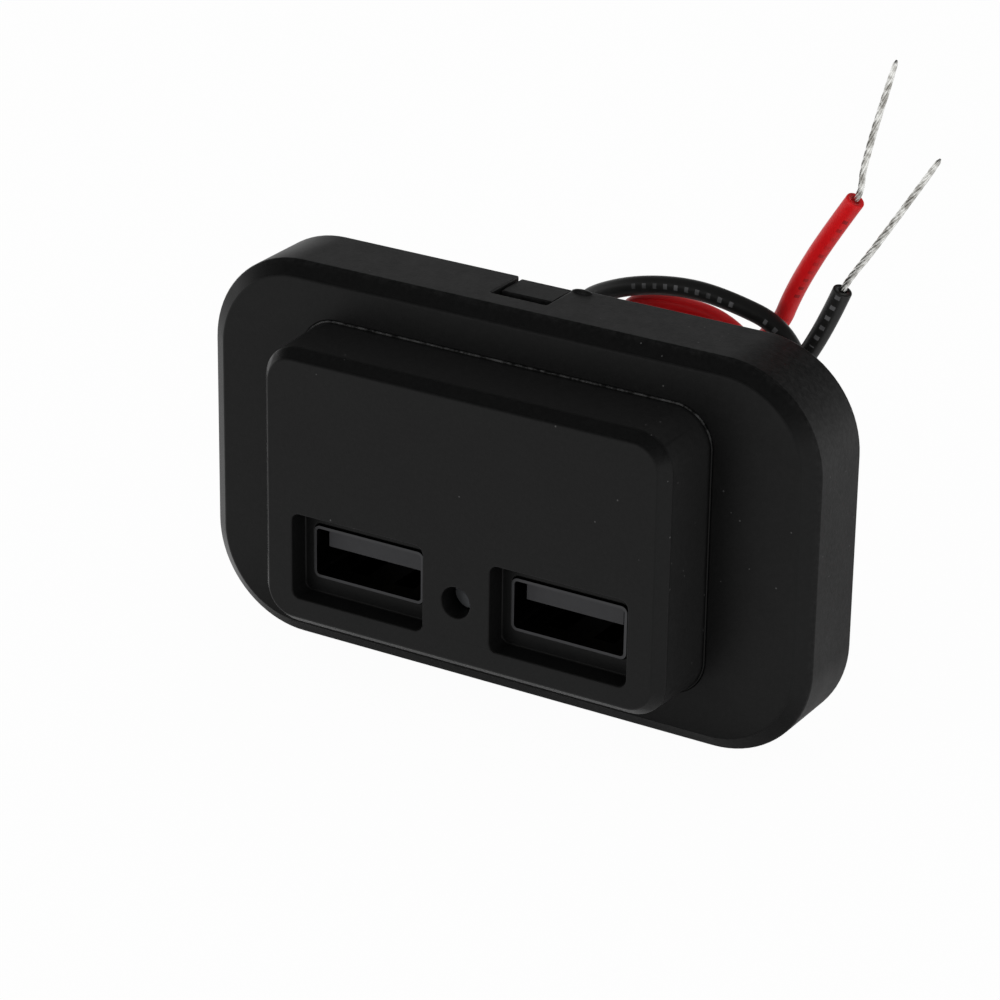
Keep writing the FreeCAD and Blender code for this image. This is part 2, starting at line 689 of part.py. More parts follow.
def makeContacts(name, side):
    """Four contact blades under the tongue, each with a tail up through the board."""
    blades = []
    for number, step in enumerate(contactSteps, start=1):
        middle = f"({side} * {portSide} + {step})"
        bladeFront = f"({shellFront} - Sizes.tongue_recess - Sizes.blade_setback)"
        bladeRear = f"({tailMiddle} - Sizes.blade_thick / 2)"
        blade = box(
            f"Blade_{name}_{number}",
            f"{middle} - Sizes.blade_width / 2",
            f"-{bladeFront}",
            bladeBottom,
            "Sizes.blade_width",
            f"{bladeFront} - {bladeRear}",
            "Sizes.blade_thick",
        )
        tail = box(
            f"Tail_{name}_{number}",
            f"{middle} - Sizes.tail_width / 2",
            f"-{tailMiddle} - Sizes.blade_thick / 2",
            bladeBottom,
            "Sizes.tail_width",
            "Sizes.blade_thick",
            f"{boardTop} + Sizes.leg_beyond - {bladeBottom}",
        )
        blades.append(joined("Part::MultiFuse", f"Contact_{name}_{number}", [blade, tail]))
    keep(joined("Part::Compound", f"usb_contacts_{name}", blades), f"usb_contacts_{name}")


def turned(label, profile, x, z):
    """Piece turned about an axis along Y, from pairs of radius and depth."""
    body = newBody(label)
    sketch = sketchOn(body, "XY_Plane")
    outline(sketch, [(radius, f"-1 * ({depth})") for radius, depth in profile])
    revolve(body, sketch, "V_Axis")
    bind(body, Placement__Base__x=x, Placement__Base__z=z)
    return body


def makeLight():
    """Light guide in its sleeve, and the round lamp with two legs bent up to the board."""
    inner = "(Sizes.light_radius - Sizes.guide_gap)"
    lip = f"({inner} + Sizes.guide_lip)"
    profile = [("0", guideFront), (inner, guideFront), (inner, sleeveRear), (lip, sleeveRear)]
    turned("light_guide", profile + [(lip, guideRear), ("0", guideRear)], "0", "-Sizes.light_below")

    rim = "(Sizes.lamp_radius + Sizes.lamp_rim)"
    shoulder = f"({lampFront} - Sizes.lamp_radius / 2)"
    rimFront = f"({lampRear} + Sizes.lamp_rim_thick)"
    dome = [("0", lampFront), ("Sizes.lamp_radius / 2", lampFront), ("Sizes.lamp_radius", shoulder)]
    base = [("Sizes.lamp_radius", rimFront), (rim, rimFront), (rim, lampRear), ("0", lampRear)]
    lamp = turned("Lamp_lens", dome + base, "0", "-Sizes.light_below")
    pieces.remove(lamp)
    parts = [lamp]
    for edge in ("-1", "1"):
        side = f"{edge} * Sizes.lamp_leg_spacing - Sizes.lamp_leg / 2"
        rear = f"({lampRear} - Sizes.lamp_leg_back)"
        level = "-Sizes.light_below - Sizes.lamp_leg / 2"
        run = box(f"Lamp_run_{len(parts)}", side, f"-{lampRear}", level, "Sizes.lamp_leg", "Sizes.lamp_leg_back", "Sizes.lamp_leg")
        rise = f"{boardBottom} + Sizes.light_below + Sizes.lamp_leg / 2"
        back = f"-{rear} - Sizes.lamp_leg"
        parts += [run, box(f"Lamp_rise_{len(parts)}", side, back, level, "Sizes.lamp_leg", "Sizes.lamp_leg", rise)]
    keep(joined("Part::MultiFuse", "status_led", parts), "status_led")


def makeCan(label, prefix):
    """Standing capacitor: square base, necked can and a bevelled top, turned about its axis."""
    body = newBody(label)
    radius, height = f"Sizes.{prefix}_radius", f"Sizes.{prefix}_height"
    base = sketchOn(body, "XY_Plane", boardTop)
    wide = f"(2 * {radius})"
    middle = (f"Sizes.{prefix}_x", "-Sizes.parts_row")
    roundedRectangle(base, wide, wide, "Sizes.can_edge", *middle)
    pad(body, base, "Sizes.can_base_height")
    neck = sketchOn(body, "XY_Plane", boardTop)
    circle(neck, f"{radius} - Sizes.can_neck_sunk", *middle)
    pad(body, neck, "Sizes.can_base_height + Sizes.can_neck_height")
    can = sketchOn(body, "XY_Plane", f"{boardTop} + Sizes.can_base_height + Sizes.can_neck_height")
    circle(can, radius, *middle)
    tall = f"({height} - Sizes.can_base_height - Sizes.can_neck_height)"
    pad(body, can, tall)
    base = body.Tip
    top = value(boardTop) + value(height)
    names = [
        f"Edge{number}"
        for number, edge in enumerate(base.Shape.Edges, start=1)
        if abs(edge.BoundBox.ZMin - top) < 1e-4
    ]
    bevel = body.newObject("PartDesign::Chamfer", "Chamfer")
    bevel.Base = (base, names)
    bind(bevel, Size="Sizes.can_edge")
    doc.recompute()


def makeInductor():
    """Shielded inductor: rounded square body with a sunk round cap."""
    body = newBody("power_inductor")
    middle = ("Sizes.inductor_x", "-Sizes.parts_row")
    base = sketchOn(body, "XY_Plane", boardTop)
    roundedRectangle(base, "Sizes.inductor_width", "Sizes.inductor_width", "Sizes.inductor_corner", *middle)
    pad(body, base, "Sizes.inductor_height")
    ring = sketchOn(body, "XY_Plane", f"{boardTop} + Sizes.inductor_height")
    circle(ring, "Sizes.inductor_cap_radius", *middle)
    circle(ring, "Sizes.inductor_cap_radius - Sizes.inductor_cap_sunk", *middle)
    pocket(body, ring, "Sizes.inductor_cap_sunk")


def makeChips():
    """Regulator with eight gull legs, controller under the board, diode, fuse and small parts."""
    lift = f"({boardTop} + Sizes.pin_thick / 2)"
    size = ("Sizes.regulator_length", "Sizes.regulator_width", "Sizes.regulator_height")
    parts = [boardBox("Regulator_body", "Sizes.regulator_x", "Sizes.regulator_row", *size, base=lift)]
    for step in range(4):
        for edge in ("-1", "1"):
            middle = f"(Sizes.regulator_x + ({step} - 1.5) * Sizes.pin_pitch)"
            row = f"(Sizes.regulator_row + {edge} * (Sizes.regulator_width + Sizes.pin_reach) / 2)"
            long = "(Sizes.pin_reach + Sizes.pin_thick)"
            parts.append(boardBox(f"Pin_{len(parts)}", middle, row, "Sizes.pin_width", long, "Sizes.pin_thick"))
    keep(joined("Part::MultiFuse", "regulator_chip", parts), "regulator_chip")

    wide = "Sizes.controller_width"
    under = f"({boardBottom} - Sizes.controller_height)"
    place = ("0", "Sizes.controller_row", wide, wide, "Sizes.controller_height")
    keep(boardBox("port_controller_chip", *place, base=under), "port_controller_chip")
    for label, prefix in (("rectifier_diode", "diode"), ("input_fuse", "fuse")):
        size = [f"Sizes.{prefix}_{word}" for word in ("length", "width", "height")]
        keep(boardBox(label, "Sizes.input_parts_x", f"Sizes.{prefix}_row", *size), label)
    for label, prefix, count in (("ceramic_capacitors", "ceramic", 4), ("chip_resistors", "resistor", 3)):
        size = [f"Sizes.{prefix}_{word}" for word in ("length", "width", "height")]
        group = []
        for step in range(count):
            middle = f"(Sizes.{prefix}_x + {step} * Sizes.{prefix}_pitch)"
            group.append(boardBox(f"{prefix}_{step}", middle, f"Sizes.{prefix}_row", *size))
        keep(joined("Part::Compound", label, group), label)


def leadPlace(edge):
    """Where a lead crosses the cover, as numbers."""
    return value(f"Sizes.lead_x + {edge} * Sizes.lead_spacing / 2"), value(leadHeight)


def makeBush():
    """Rubber bush in the cover: lip inside, tapered nose outside, two holes for the leads."""
    body = newBody("lead_bush")
    outside = sketchOn(body, "XY_Plane")
    lip = "(Sizes.bush_radius + Sizes.bush_lip)"
    inner = "(-1 * (Sizes.cover_thick + Sizes.bush_lip_thick))"
    profile = [
        ("0", inner),
        (lip, inner),
        (lip, "-Sizes.cover_thick"),
        ("Sizes.bush_radius", "-Sizes.cover_thick"),
        ("Sizes.bush_radius", "0"),
        ("Sizes.bush_radius - Sizes.bush_taper", "Sizes.bush_out"),
        ("0", "Sizes.bush_out"),
    ]
    outline(outside, profile)
    revolve(body, outside, "V_Axis")
    holes = facing(body, "-Sizes.bush_out - 1")
    for edge in ("-1", "1"):
        circle(holes, "Sizes.lead_radius", f"{edge} * Sizes.lead_spacing / 2")
    pocket(body, holes, "Sizes.bush_out + Sizes.cover_thick + Sizes.bush_lip_thick + 2", towardsFace=True)
    bind(body, Placement__Base__x="Sizes.lead_x", Placement__Base__z=leadHeight)


def makeLeadTails():
    """The stretch of each lead inside the housing, and the solder that ends it on the board."""
    radius, inside = value("Sizes.lead_radius"), value("Sizes.lead_inside")
    tails, joints = [], []
    for edge in (-1, 1):
        x, z = leadPlace(edge)
        start = FreeCAD.Vector(x, -inside, z)
        tails.append(Part.makeCylinder(radius, inside + value("Sizes.bush_out"), start, FreeCAD.Vector(0, 1, 0)))
        wide, narrow = value("Sizes.solder_radius"), value("Sizes.solder_top_radius")
        base = FreeCAD.Vector(x, -inside - wide, value(boardTop))
        joints.append(Part.makeCone(wide, narrow, value("Sizes.solder_height"), base))
    for label, solids in (("lead_tails", tails), ("lead_solder", joints)):
        group = doc.addObject("Part::Feature", label)
        group.Shape = Part.makeCompound(solids)
        keep(group, label)


def bentPath(points, report):
    """Straight runs joined by tangent arcs, each as large as its two runs allow."""
    runs = [(there - here).Length for here, there in zip(points, points[1:])]
    edges, here = [], points[0]
    for step in range(1, len(points) - 1):
        corner = points[step]
        before = (points[step - 1] - corner).normalize()
        after = (points[step + 1] - corner).normalize()
        turn = math.pi - before.getAngle(after)
        reach = 0.45 * min(runs[step - 1], runs[step])
        radius = reach / math.tan(turn / 2)
        report.append(radius)
        entry, leave = corner + before * reach, corner + after * reach
        inward = (before + after).normalize()
        depth = radius / math.cos(turn / 2) - radius
        edges.append(Part.LineSegment(here, entry).toShape())
        edges.append(Part.Arc(entry, corner + inward * depth, leave).toShape())
        here = leave
    edges.append(Part.LineSegment(here, points[-1]).toShape())
    return Part.Wire(edges)


def tube(label, points, radius):
    """Round solid along a bent path, with its volume held against section times length."""
    radii = []
    path = bentPath(points, radii)
    start = (points[1] - points[0]).normalize()
    section = Part.Wire([Part.Circle(points[0], start, radius).toShape()])
    solid = path.makePipeShell([section], True, False)
    expected = math.pi * radius**2 * path.Length
    print(f"{label}: length {path.Length:.1f}, tightest radius {min(radii):.1f}")
    if abs(solid.Volume / expected - 1) > 0.01:
        raise ValueError(f"{label} has volume {solid.Volume:.1f} and not {expected:.1f}")
    item = doc.addObject("Part::Feature", label)
    item.Shape = solid
    keep(item, label)


# Free routes of the leads behind the cover, after each one's straight start,
# and the places that the bare strands pass after the end of the insulation.
leadRoutes = {
    "black": {
        "edge": -1,
        "straight": 7.4,
        "route": [
            (-5.5, 15.9, 2.9),
            (-6.9, 17.0, 8.1),
            (-5.1, 15.6, 13.2),
            (1.3, 13.9, 16.6),
            (7.2, 13.5, 18.1),
            (12.6, 12.9, 17.9),
            (20.6, 13.3, 15.4),
            (23.7, 13.5, 7.1),
            (22.9, 11.1, -1.9),
            (16.3, 11.1, -8.3),
            (8.3, 8.5, -12.4),
            (-0.2, 8.8, -9.0),
            (-7.3, 8.1, -2.6),
            (-6.4, 7.5, 6.8),
            (2.2, 7.3, 10.4),
            (8.9, 8.5, 12.0),
            (15.9, 10.3, 10.2),
            (22.5, 9.3, 12.5),
            (25.7, 9.3, 17.7),
            (27.9, 9.0, 22.9),
        ],
        "strands": [(31.0, 9.2, 27.8), (37.2, 9.6, 38.0)],
    },
    "red": {
        "edge": 1,
        "straight": 6.0,
        "route": [
            (-2.0, 14.5, 3.8),
            (-1.4, 16.2, 9.2),
            (1.5, 15.1, 13.7),
            (6.9, 13.4, 15.4),
            (12.8, 14.0, 15.0),
            (16.9, 14.0, 11.1),
            (21.1, 14.9, 3.3),
            (17.8, 17.7, -4.3),
            (10.7, 19.4, -9.6),
            (2.7, 19.5, -9.6),
            (-2.6, 21.3, -3.8),
            (-1.8, 21.3, 3.9),
            (3.9, 19.6, 7.9),
            (11.2, 20.1, 8.2),
            (16.1, 19.2, 13.5),
            (17.8, 18.0, 17.1),
            (19.9, 16.8, 20.8),
            (22.7, 15.6, 25.3),
            (25.9, 15.0, 30.1),
        ],
        "strands": [(27.7, 15.0, 35.3), (29.5, 15.0, 45.1)],
    },
}


def makeLeads():
    """The two free leads, and the twisted strands that end each one."""
    straight = value("Sizes.bush_out")
    for name, facts in leadRoutes.items():
        x, z = leadPlace(facts["edge"])
        start = [FreeCAD.Vector(x, straight, z), FreeCAD.Vector(x, straight + facts["straight"], z)]
        lead = start + [FreeCAD.Vector(*place) for place in facts["route"]]
        tube(f"{name}_lead", lead, value("Sizes.lead_radius"))
        onward = (lead[-1] - lead[-2]).normalize() * value("Sizes.strand_start")
        bare = [lead[-1], lead[-1] + onward] + [FreeCAD.Vector(*place) for place in facts["strands"]]
        tube(f"{name}_lead_strands", bare, value("Sizes.strand_radius"))


makeBezel()
makeHousing()
makeCover()
makeCoverScrews()
makeBoard()
for portName, portSign in sides.items():
    makeShell(portName, portSign)
    makeTongue(portName, portSign)
    makeContacts(portName, portSign)
makeLight()
makeCan("input_capacitor", "input_can")
makeCan("output_capacitor", "output_can")
makeInductor()
makeChips()
makeBush()
makeLeadTails()
makeLeads()
doc.recompute()

for item in doc.Objects:
    if "Invalid" in item.State or "Error" in item.State:
        raise ValueError(f"{item.Label} is in state {item.State}")
for piece in pieces:
    if piece.Shape.isNull() or not piece.Shape.isValid() or not piece.Shape.Solids:
        raise ValueError(f"{piece.Label} has no valid solid")

os.makedirs("parts", exist_ok=True)
for piece in pieces:
    piece.Shape.exportStep(f"parts/{piece.Label}.step")
print(len(pieces), "sub-parts written")
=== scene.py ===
import math

import bmesh
import bpy
import numpy as np
from mathutils import Matrix, Vector


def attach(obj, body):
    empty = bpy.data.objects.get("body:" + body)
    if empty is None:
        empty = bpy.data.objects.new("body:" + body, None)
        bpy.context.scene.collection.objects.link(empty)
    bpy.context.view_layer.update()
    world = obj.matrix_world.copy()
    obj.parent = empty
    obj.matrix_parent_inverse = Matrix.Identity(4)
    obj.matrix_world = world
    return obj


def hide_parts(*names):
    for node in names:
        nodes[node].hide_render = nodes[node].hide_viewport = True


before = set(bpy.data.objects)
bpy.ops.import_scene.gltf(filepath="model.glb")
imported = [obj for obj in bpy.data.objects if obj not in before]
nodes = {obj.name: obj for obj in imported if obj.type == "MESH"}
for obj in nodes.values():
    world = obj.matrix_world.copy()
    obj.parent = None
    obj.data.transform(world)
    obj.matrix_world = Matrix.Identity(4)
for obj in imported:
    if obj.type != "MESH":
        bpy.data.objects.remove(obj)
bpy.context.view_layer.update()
mm = 0.001


class Signal:
    # One socket of a node tree. Each operator adds a Math node and gives its output.
    def __init__(self, owner, socket):
        self.owner, self.socket = owner, socket

    def maths(self, operation, *values, clamp=False):
        settings = {"operation": operation, "use_clamp": clamp}
        return self.owner.add("ShaderNodeMath", settings, dict(enumerate(values)))

    def __add__(self, other):
        return self.maths("ADD", self, other)

    def __sub__(self, other):
        return self.maths("SUBTRACT", self, other)

    def __rsub__(self, other):
        return self.maths("SUBTRACT", other, self)

    def __mul__(self, other):
        return self.maths("MULTIPLY", self, other)

    def __truediv__(self, other):
        return self.maths("DIVIDE", self, other)

    def __rtruediv__(self, other):
        return self.maths("DIVIDE", other, self)

    def __gt__(self, other):
        return self.maths("GREATER_THAN", self, other)

    def __lt__(self, other):
        return self.maths("LESS_THAN", self, other)

    def __abs__(self):
        return self.maths("ABSOLUTE", self)

    __radd__ = __add__
    __rmul__ = __mul__

    def maximum(self, other):
        return self.maths("MAXIMUM", self, other)

    def fraction(self):
        # What is left above the whole number below.
        return self.maths("FRACT", self)

    def between(self, low, high):
        # 0 at low, 1 at high, clamped outside.
        return self.maths("MULTIPLY", self - low, 1 / (high - low), clamp=True)

    def within(self, low, high, soft):
        # 1 from low to high, 0 outside, with soft ends inside the range.
        return self.between(low, low + soft) * (1 - self.between(high - soft, high))


class Nodes:
    # The nodes of one tree, a finish's or the world's.
    def __init__(self, tree):
        self.tree = tree

    def add(self, kind, settings=None, inputs=None, output=0):
        # Any node: its settings first, then the values or links of its sockets. It gives the
        # signal of one output, or a list of signals for several.
        node = self.tree.nodes.new(kind)
        for name, value in (settings or {}).items():
            if name == "stops":
                self.setStops(node.color_ramp.elements, value)
            else:
                setattr(node, name, value)
        for key, value in (inputs or {}).items():
            self.feed(node.inputs[key], value)
        if isinstance(output, tuple):
            return [Signal(self, node.outputs[key]) for key in output]
        return Signal(self, node.outputs[output])

    def setStops(self, ramp, stops):
        while len(ramp) < len(stops):
            ramp.new(0.5)
        for stop, (place, colour) in zip(ramp, stops):
            stop.position, stop.color = place, (*colour, 1)

    def feed(self, socket, value):
        # A signal is linked, a number or an opaque colour is set.
        if isinstance(value, Signal):
            self.tree.links.new(value.socket, socket)
        elif socket.type == "RGBA":
            socket.default_value = (*value, 1)
        else:
            socket.default_value = value

    def show(self, output, shader):
        # Links a shader to the tree's output node.
        self.feed(self.tree.nodes[output].inputs[0], shader)

    def place(self, output="Object"):
        return self.add("ShaderNodeTexCoord", output=output)

    def axes(self, place):
        # The three coordinates of a place, as separate signals.
        return self.add("ShaderNodeSeparateXYZ", None, {0: place}, output=(0, 1, 2))

    def rays(self):
        # 1 for a ray from the camera, for a reflection, and for one that has passed through.
        kinds = ("Is Camera Ray", "Is Glossy Ray", "Is Transmission Ray")
        return self.add("ShaderNodeLightPath", output=kinds)

    def blend(self, factor, one, other):
        # Shader mix by a signal.
        return self.add("ShaderNodeMixShader", None, {0: factor, 1: one, 2: other})


class Finish(Nodes):
    # One procedural material.
    def __init__(self, name):
        self.material = bpy.data.materials.new(name)
        self.material.use_nodes = True
        super().__init__(self.material.node_tree)
        self.shader = self.tree.nodes["Principled BSDF"]

    def set(self, values):
        # Values or signals for the shader's sockets, by their names.
        for name, value in values.items():
            self.feed(self.shader.inputs[name], value)
        return self

    def attribute(self, name):
        # A value that the mesh stores at each point.
        return self.add("ShaderNodeAttribute", {"attribute_name": name}, output=2)

    def noise(self, place, size, detail=3, roughness=0.5):
        # Noise whose blobs are about this size, in metres; 0 to 1.
        inputs = {"Vector": place, "Scale": 1 / size, "Detail": detail, "Roughness": roughness}
        return self.add("ShaderNodeTexNoise", None, inputs)

    def wander(self, place, size, span, detail=2):
        # Noise from the first value of a span to the second.
        low, high = span
        return low + (high - low) * self.noise(place, size, detail)

    def specks(self, place, apart, radius):
        # Round specks: 1 inside a radius round the point of each cell.
        inputs = {"Vector": place, "Scale": 1 / apart}
        return self.add("ShaderNodeTexVoronoi", {"feature": "F1"}, inputs) < radius / apart

    def mix(self, factor, low, high):
        # Colour mix by a signal; 6, 7 and 2 are the colour sockets of the node.
        inputs = {"Factor": factor, 6: low, 7: high}
        return self.add("ShaderNodeMix", {"data_type": "RGBA"}, inputs, output=2)

    def bump(self, height, depth, strength):
        inputs = {"Height": height, "Distance": depth, "Strength": strength}
        return self.add("ShaderNodeBump", None, inputs)


def grey(level):
    return (level, level, level)


def scaled(colour, share):
    return tuple(share * part for part in colour)


# Surfaces: a grid of points in rows and columns becomes quads, row by row.
def gridFaces(rows, columns, looped):
    across = np.arange(columns)
    down = np.arange(rows if looped else rows - 1)[:, None]
    beside = (across + 1) % columns
    below = (down + 1) % rows
    quads = [down * columns + across, down * columns + beside]
    quads += [below * columns + beside, below * columns + across]
    return np.stack(quads, axis=-1).reshape(-1, 4)


def surface(name, grids, finish, along=None, looped=False):
    # One mesh from several tubes of the same size, each capped at its ends or closed to a loop.
    # The first cap runs backwards, so that both caps face outwards.
    grids = np.asarray(grids, dtype=float)
    count, rows, columns = grids.shape[:3]
    one = gridFaces(rows, columns, looped)
    faces = np.concatenate([one + step * rows * columns for step in range(count)]).tolist()
    if not looped:
        for step in range(count):
            first = step * rows * columns
            last = first + (rows - 1) * columns
            faces.append(list(range(first + columns - 1, first - 1, -1)))
            faces.append(list(range(last, last + columns)))
    mesh = bpy.data.meshes.new(name)
    mesh.from_pydata(grids.reshape(-1, 3).tolist(), [], faces)
    if along is not None:
        # "around" runs from 0 to 1 round the tube, "along" is the distance on its path in metres.
        turn = np.tile(np.arange(columns) / columns, count * rows)
        run = np.tile(np.repeat(along, columns), count)
        for label, values in (("around", turn), ("along", run)):
            mesh.attributes.new(label, "FLOAT", "POINT").data.foreach_set("value", values)
    mesh.shade_smooth()
    return addPiece(name, mesh, finish)


def dress(mesh, finish):
    mesh.materials.clear()
    mesh.materials.append(finish.material)


def addObject(name, data):
    made = bpy.data.objects.new(name, data)
    bpy.context.scene.collection.objects.link(made)
    return made


def addPiece(name, mesh, finish):
    piece = addObject(name, mesh)
    dress(mesh, finish)
    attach(piece, "root")
    return piece


# Camera: stands on a sphere round its target, and rolls about its own view line.
cameraFacts = {
    "azimuth": 30.893,
    "elevation": 23.61,
    "roll": 0.87,
    "distance": 0.41486,
    "target": (-0.005506, 0.0, -0.004211),
    "lens": 145.237,
    "sensor": 36,
    "clip": (0.01, 20),
}


def makeCamera(facts):
    swing, rise, roll = [math.radians(facts[key]) for key in ("azimuth", "elevation", "roll")]
    back = Vector((math.sin(swing) * math.cos(rise), -math.cos(swing) * math.cos(rise), math.sin(rise)))
    right = Vector((math.cos(swing), math.sin(swing), 0))
    up = back.cross(right)
    leaning = math.cos(roll) * right + math.sin(roll) * up
    upright = math.cos(roll) * up - math.sin(roll) * right
    lens = bpy.data.cameras.new("photoCamera")
    lens.lens, lens.sensor_width = facts["lens"], facts["sensor"]
    lens.clip_start, lens.clip_end = facts["clip"]
    camera = addObject("photoCamera", lens)
    turned = Matrix((leaning, upright, back)).transposed().to_4x4()
    camera.matrix_world = Matrix.Translation(Vector(facts["target"]) + back * facts["distance"]) @ turned
    bpy.context.scene.camera = camera


makeCamera(cameraFacts)
print("camera placed")


# Leads: each route is the one that the frame's tubes follow, in millimetres.
leadFacts = {
    "black": {
        "tube": (0.013, 0.013, 0.0125),
        "ink": (0.17, 0.17, 0.175),
        "inkTurn": 0.56,
        "length": 0.1565,
        "route": [
            (-2.7, 2.2, -1.4), (-2.7, 9.6, -1.4), (-5.5, 15.9, 2.9), (-6.9, 17.0, 8.1),
            (-5.6, 15.6, 12.9), (0.8, 13.9, 16.3), (7.0, 13.5, 17.7), (12.6, 12.9, 17.8),
            (20.2, 13.3, 15.7), (23.0, 13.5, 7.1), (22.9, 11.1, -1.9), (16.3, 11.1, -8.3),
            (8.3, 8.5, -12.4), (-0.2, 8.8, -9.0), (-7.3, 8.1, -2.6), (-6.4, 7.5, 6.8),
            (2.2, 7.3, 10.4), (8.9, 8.5, 12.0), (15.9, 10.3, 10.2), (22.5, 9.3, 12.5),
            (25.7, 9.3, 17.7), (27.9, 9.0, 22.9),
        ],
        "bare": [(31.0, 9.2, 27.8), (37.2, 9.6, 38.0)],
        "bareFirst": 1.2,
    },
    "red": {
        "tube": (0.74, 0.009, 0.012),
        "ink": (0.1, 0.003, 0.004),
        "inkTurn": 0.86,
        "length": 0.131,
        "route": [
            (-0.3, 2.2, -1.4), (-0.3, 8.2, -1.4), (-2.0, 14.5, 3.8), (-1.4, 16.2, 9.2),
            (0.1, 16.4, 13.7), (5.8, 15.1, 15.0), (12.0, 15.2, 14.4), (16.8, 14.5, 10.6),
            (21.1, 14.9, 3.3), (17.8, 17.7, -4.3), (10.7, 19.4, -9.6), (2.7, 19.5, -9.6),
            (-2.6, 21.3, -3.8), (-1.8, 21.3, 3.9), (3.9, 19.6, 7.9), (11.2, 20.1, 8.2),
            (16.1, 19.2, 13.5), (17.8, 18.0, 17.1), (19.9, 16.8, 20.8), (22.7, 15.6, 25.3),
            (25.9, 15.0, 30.1),
        ],
        "bare": [(26.5, 15.0, 34.1), (29.5, 15.0, 45.1)],
        "bareFirst": 1.2,
    },
}
sleeveShape = {
    "radius": 1.0 * mm,
    "edgeRound": 0.12 * mm,
    "edgeSteps": 4,
    "boreRadius": 0.5 * mm,
    "boreDepth": 0.5 * mm,
    "boreNarrows": 0.96,
    "sides": 28,
    "lineSteps": 14,
}
strandShape = {
    "wires": 6,
    "wireRadius": 0.12 * mm,
    "coreRadius": 0.12 * mm,
    "bundleRadius": 0.22 * mm,
    "twist": 6.5 * mm,
    "sides": 8,
    "lineSteps": 40,
    "tip": {"length": 0.35 * mm, "least": 0.06},
    "gathered": {"length": 2.5 * mm, "share": 0.35},
    "wander": {"share": 0.07, "perMetre": 2300, "perWire": 2.1},
}


def smoothLine(points, steps):
    # The points of the NURBS line of order 3 that has these control points.
    curve = bpy.data.curves.new("route", "CURVE")
    curve.dimensions = "3D"
    curve.resolution_u = steps
    spline = curve.splines.new("NURBS")
    spline.points.add(len(points) - 1)
    spline.points.foreach_set("co", np.hstack([points, np.ones((len(points), 1))]).ravel())
    spline.order_u = 3
    spline.use_endpoint_u = True
    holder = addObject("route", curve)
    graph = bpy.context.evaluated_depsgraph_get()
    mesh = bpy.data.meshes.new_from_object(holder.evaluated_get(graph))
    line = np.empty(len(mesh.vertices) * 3)
    mesh.vertices.foreach_get("co", line)
    bpy.data.objects.remove(holder)
    bpy.data.curves.remove(curve)
    bpy.data.meshes.remove(mesh)
    return line.reshape(-1, 3)


def runs(line):
    # Distance from the start to each point of a line.
    return np.concatenate([[0], np.linalg.norm(np.diff(line, axis=0), axis=1).cumsum()])


def carriedFrame(line):
    # Tangents, and two directions across that are carried along without twisting.
    tangents = np.gradient(line, runs(line), axis=0)
    tangents /= np.linalg.norm(tangents, axis=1)[:, None]
    side = np.cross(tangents[0], (0.3, 0.2, 1.0))  # any direction that no route starts in
    sides = []
    for tangent in tangents:
        side = side - tangent * np.dot(side, tangent)
        side = side / np.linalg.norm(side)
        sides.append(side)
    sides = np.array(sides)
    return tangents, sides, np.cross(tangents, sides)


def ringed(line, sides, ups, radius, count):
    # Point at angle a: line + radius (side cos a + up sin a).
    angle = np.arange(count) * 2 * np.pi / count
    across = sides[:, None] * np.cos(angle)[None, :, None] + ups[:, None] * np.sin(angle)[None, :, None]
    return line[:, None] + across * np.broadcast_to(radius, len(line))[:, None, None]


def makeInsulation(name, facts, shape, finish):
    # Round sleeve along the route. At its free end, at angle t, the radius is radius - round
    # (1 - cos t) and the step back is round (1 - sin t); then it turns in and down the bore.
    line = smoothLine(np.array(facts["route"]) * mm, shape["lineSteps"])
    tangents, sides, ups = carriedFrame(line)
    turn = np.linspace(0, np.pi / 2, shape["edgeSteps"])
    rounded, bore = shape["edgeRound"], shape["boreRadius"]
    endRadius = shape["radius"] - rounded + rounded * np.cos(turn)
    endRadius = np.append(endRadius, [bore, bore * shape["boreNarrows"]])
    endStep = np.append(rounded * np.sin(turn) - rounded, [0, -shape["boreDepth"]])
    end = line[-1] + tangents[-1] * endStep[:, None]
    fullLine = np.concatenate([line[:-1], end])
    fullSides, fullUps = [
        np.concatenate([across[:-1], np.repeat(across[-1:], len(endStep), axis=0)])
        for across in (sides, ups)
    ]
    radius = np.concatenate([np.full(len(line) - 1, shape["radius"]), endRadius])
    along = np.concatenate([runs(line)[:-1], runs(line)[-1] + endStep])
    grid = ringed(fullLine, fullSides, fullUps, radius, shape["sides"])
    return surface(name, [grid], finish, along), line


def makeStrands(name, facts, shape, finish):
    # Wires that wind round a core: each centre line turns once in every twist of length. Over
    # their last stretch the wires gather round the core, and their tips are rounded.
    last, before = [np.array(facts["route"][step]) for step in (-1, -2)]
    onward = (last - before) / np.linalg.norm(last - before)
    points = [last, last + onward * facts["bareFirst"], *facts["bare"]]
    line = smoothLine(np.array(points) * mm, shape["lineSteps"])
    sides, ups = carriedFrame(line)[1:]
    along = runs(line)
    left = along[-1] - along
    tip, gathered, wander = shape["tip"], shape["gathered"], shape["wander"]
    rounded = np.sqrt(np.clip(left / tip["length"], tip["least"], 1))
    gather = np.sqrt(np.clip(left / gathered["length"], 0, 1))
    squeeze = gathered["share"] + (1 - gathered["share"]) * gather
    grids = [ringed(line, sides, ups, shape["coreRadius"] * rounded, shape["sides"])]
    for wire in range(shape["wires"]):
        angle = 2 * np.pi * (wire / shape["wires"] + along / shape["twist"])
        sway = wander["share"] * np.sin(along * wander["perMetre"] + wire * wander["perWire"])
        offset = shape["bundleRadius"] * (1 + sway) * squeeze
        centre = line + sides * (offset * np.cos(angle))[:, None] + ups * (offset * np.sin(angle))[:, None]
        side, up = carriedFrame(centre)[1:]
        grids.append(ringed(centre, side, up, shape["wireRadius"] * rounded, shape["sides"]))
    return surface(name, grids, finish, along)


